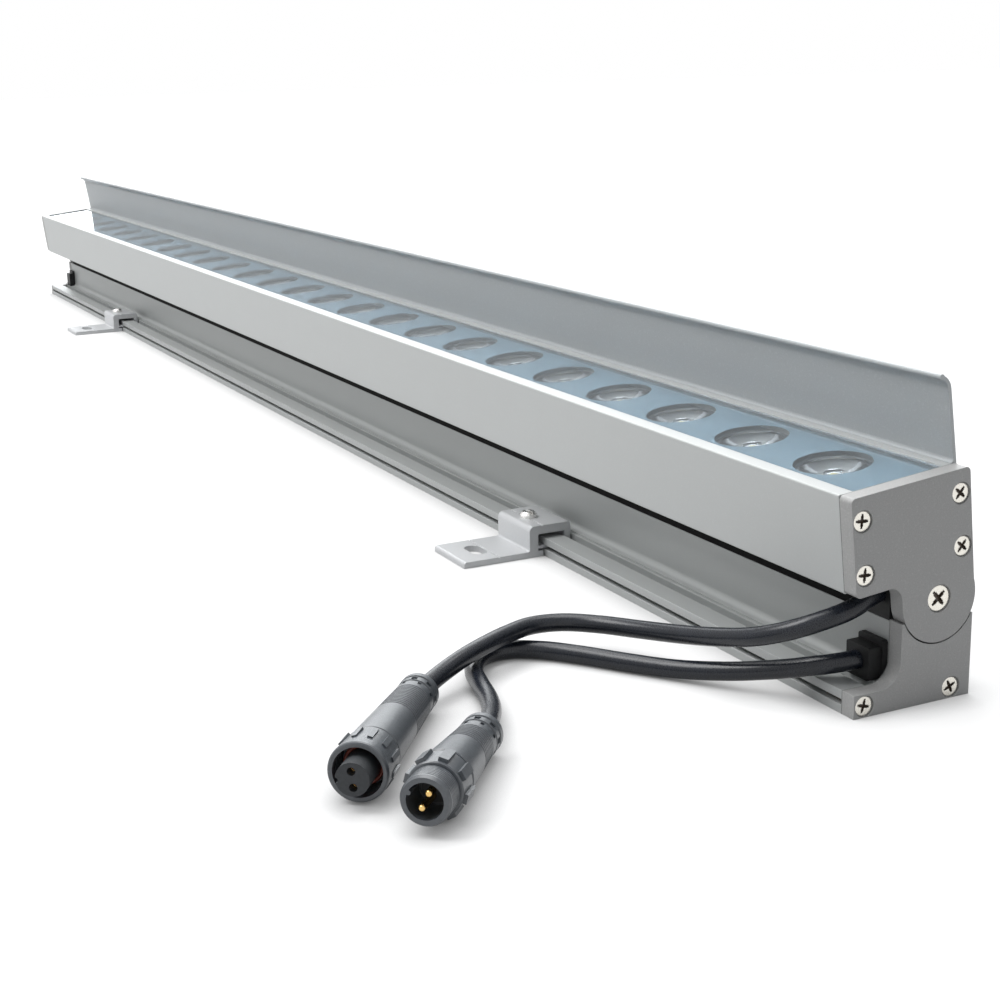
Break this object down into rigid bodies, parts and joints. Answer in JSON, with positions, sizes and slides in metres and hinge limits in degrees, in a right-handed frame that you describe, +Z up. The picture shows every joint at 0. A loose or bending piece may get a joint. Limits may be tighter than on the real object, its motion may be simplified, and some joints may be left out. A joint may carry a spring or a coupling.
{
  "type": "wall washer light",
  "caption": "Long slim wall washer bar: a lensed head under flat glass with an anti-glare visor, tilting on an L-shaped base with sliding slotted brackets and plugged leads.",
  "frame": {"origin": "underside of the base, at the middle of its width and length", "axes": "+X along the bar towards the end that the leads leave from, -Y the front that the lead plugs and bracket feet point to, +Z up out of the mounting face"},
  "size_m": [1.0124, 0.179, 0.0884],
  "materials": {
    "profile_aluminium": "fine sandblasted and anodised, satin",
    "cap_aluminium": "sandblasted and anodised, darker grey, satin",
    "visor_aluminium": "fine sandblasted and anodised, satin",
    "bracket_aluminium": "extruded, natural anodised, satin",
    "block_aluminium": "machined",
    "screw_steel": "plated, slightly warm, satin",
    "gasket_rubber": "matte black",
    "grommet_rubber": "matte black",
    "lead_rubber": "blue-black, semi-gloss",
    "seal_rubber": "orange silicone",
    "washer_plastic": "dark nylon",
    "plug_plastic": "dark grey moulded, satin",
    "nut_plastic": "dark grey moulded, satin",
    "insert_plastic": "dark grey moulded, matte",
    "contact_brass": "gold-toned, polished",
    "terminal_brass": "satin",
    "terminal_plastic": "white moulded",
    "core_insulation": "red-brown insulation",
    "front_glass": "clear glass with a grey mask printed on its underside and a clear round window over each lens",
    "board_white": "white solder mask, satin",
    "chip_phosphor": "yellow phosphor under a clear dome",
    "lens_clear": "clear moulded acrylic, polished",
    "holder_plastic": "pale grey moulded"
  },
  "bodies": {
    "base": {"base_profile": "profile_aluminium", "base_cap_near": "cap_aluminium", "base_cap_far": "cap_aluminium", "base_gasket_near": "gasket_rubber", "base_gasket_far": "gasket_rubber", "base_cap_screws": "screw_steel", "pivot_block_near": "block_aluminium", "pivot_block_far": "block_aluminium", "pivot_block_screws": "screw_steel", "pivot_screw_near": "screw_steel", "pivot_screw_far": "screw_steel", "friction_washers": "washer_plastic", "trough_seal": "grommet_rubber", "lower_grommet": "grommet_rubber", "upper_grommet": "grommet_rubber", "lower_plug_far": "grommet_rubber", "upper_plug_far": "grommet_rubber", "splice_block": "terminal_plastic", "splice_screws": "terminal_brass", "supply_cores": "core_insulation", "feed_lead_base": "lead_rubber", "upper_cable": "lead_rubber", "lower_cable": "lead_rubber", "socket_gland": "plug_plastic", "socket_body": "plug_plastic", "socket_insert": "insert_plastic", "socket_contacts": "contact_brass", "socket_seal": "seal_rubber", "pin_gland": "plug_plastic", "pin_body": "plug_plastic", "pin_insert": "insert_plastic", "pin_contacts": "contact_brass"},
    "head": {"head_profile": "profile_aluminium", "head_cap_near": "cap_aluminium", "head_cap_far": "cap_aluminium", "head_gasket_near": "gasket_rubber", "head_gasket_far": "gasket_rubber", "head_cap_screws": "screw_steel", "front_glass": "front_glass", "glass_gasket": "gasket_rubber", "visor": "visor_aluminium", "led_boards": "board_white", "board_links": "core_insulation", "board_screws": "screw_steel", "led_chips": "chip_phosphor", "lens_optics": "lens_clear", "lens_holders": "holder_plastic", "feed_lead_head": "lead_rubber"},
    "bracket_near_body": {"bracket_near": "bracket_aluminium", "clamp_screw_near": "screw_steel"},
    "bracket_far_body": {"bracket_far": "bracket_aluminium", "clamp_screw_far": "screw_steel"},
    "coupling_nut": {"socket_nut": "nut_plastic"}
  },
  "joints": [
    {"name": "head_tilt", "type": "hinge", "parent": "base", "child": "head", "pos_m": [0, 0.0078, 0.0291], "axis": [-1, 0, 0], "range_deg": [-6, 50]},
    {"name": "bracket_near_slide", "type": "slide", "parent": "base", "child": "bracket_near_body", "axis": [1, 0, 0], "range_m": [-0.3, 0.07]},
    {"name": "bracket_far_slide", "type": "slide", "parent": "base", "child": "bracket_far_body", "axis": [1, 0, 0], "range_m": [-0.18, 0.27]},
    {"name": "coupling_nut_turn", "type": "hinge", "parent": "base", "child": "coupling_nut", "pos_m": [0.4378, -0.1163, 0.0057], "axis": [0.7893, -0.6123, 0.0454], "continuous": true}
  ]
}
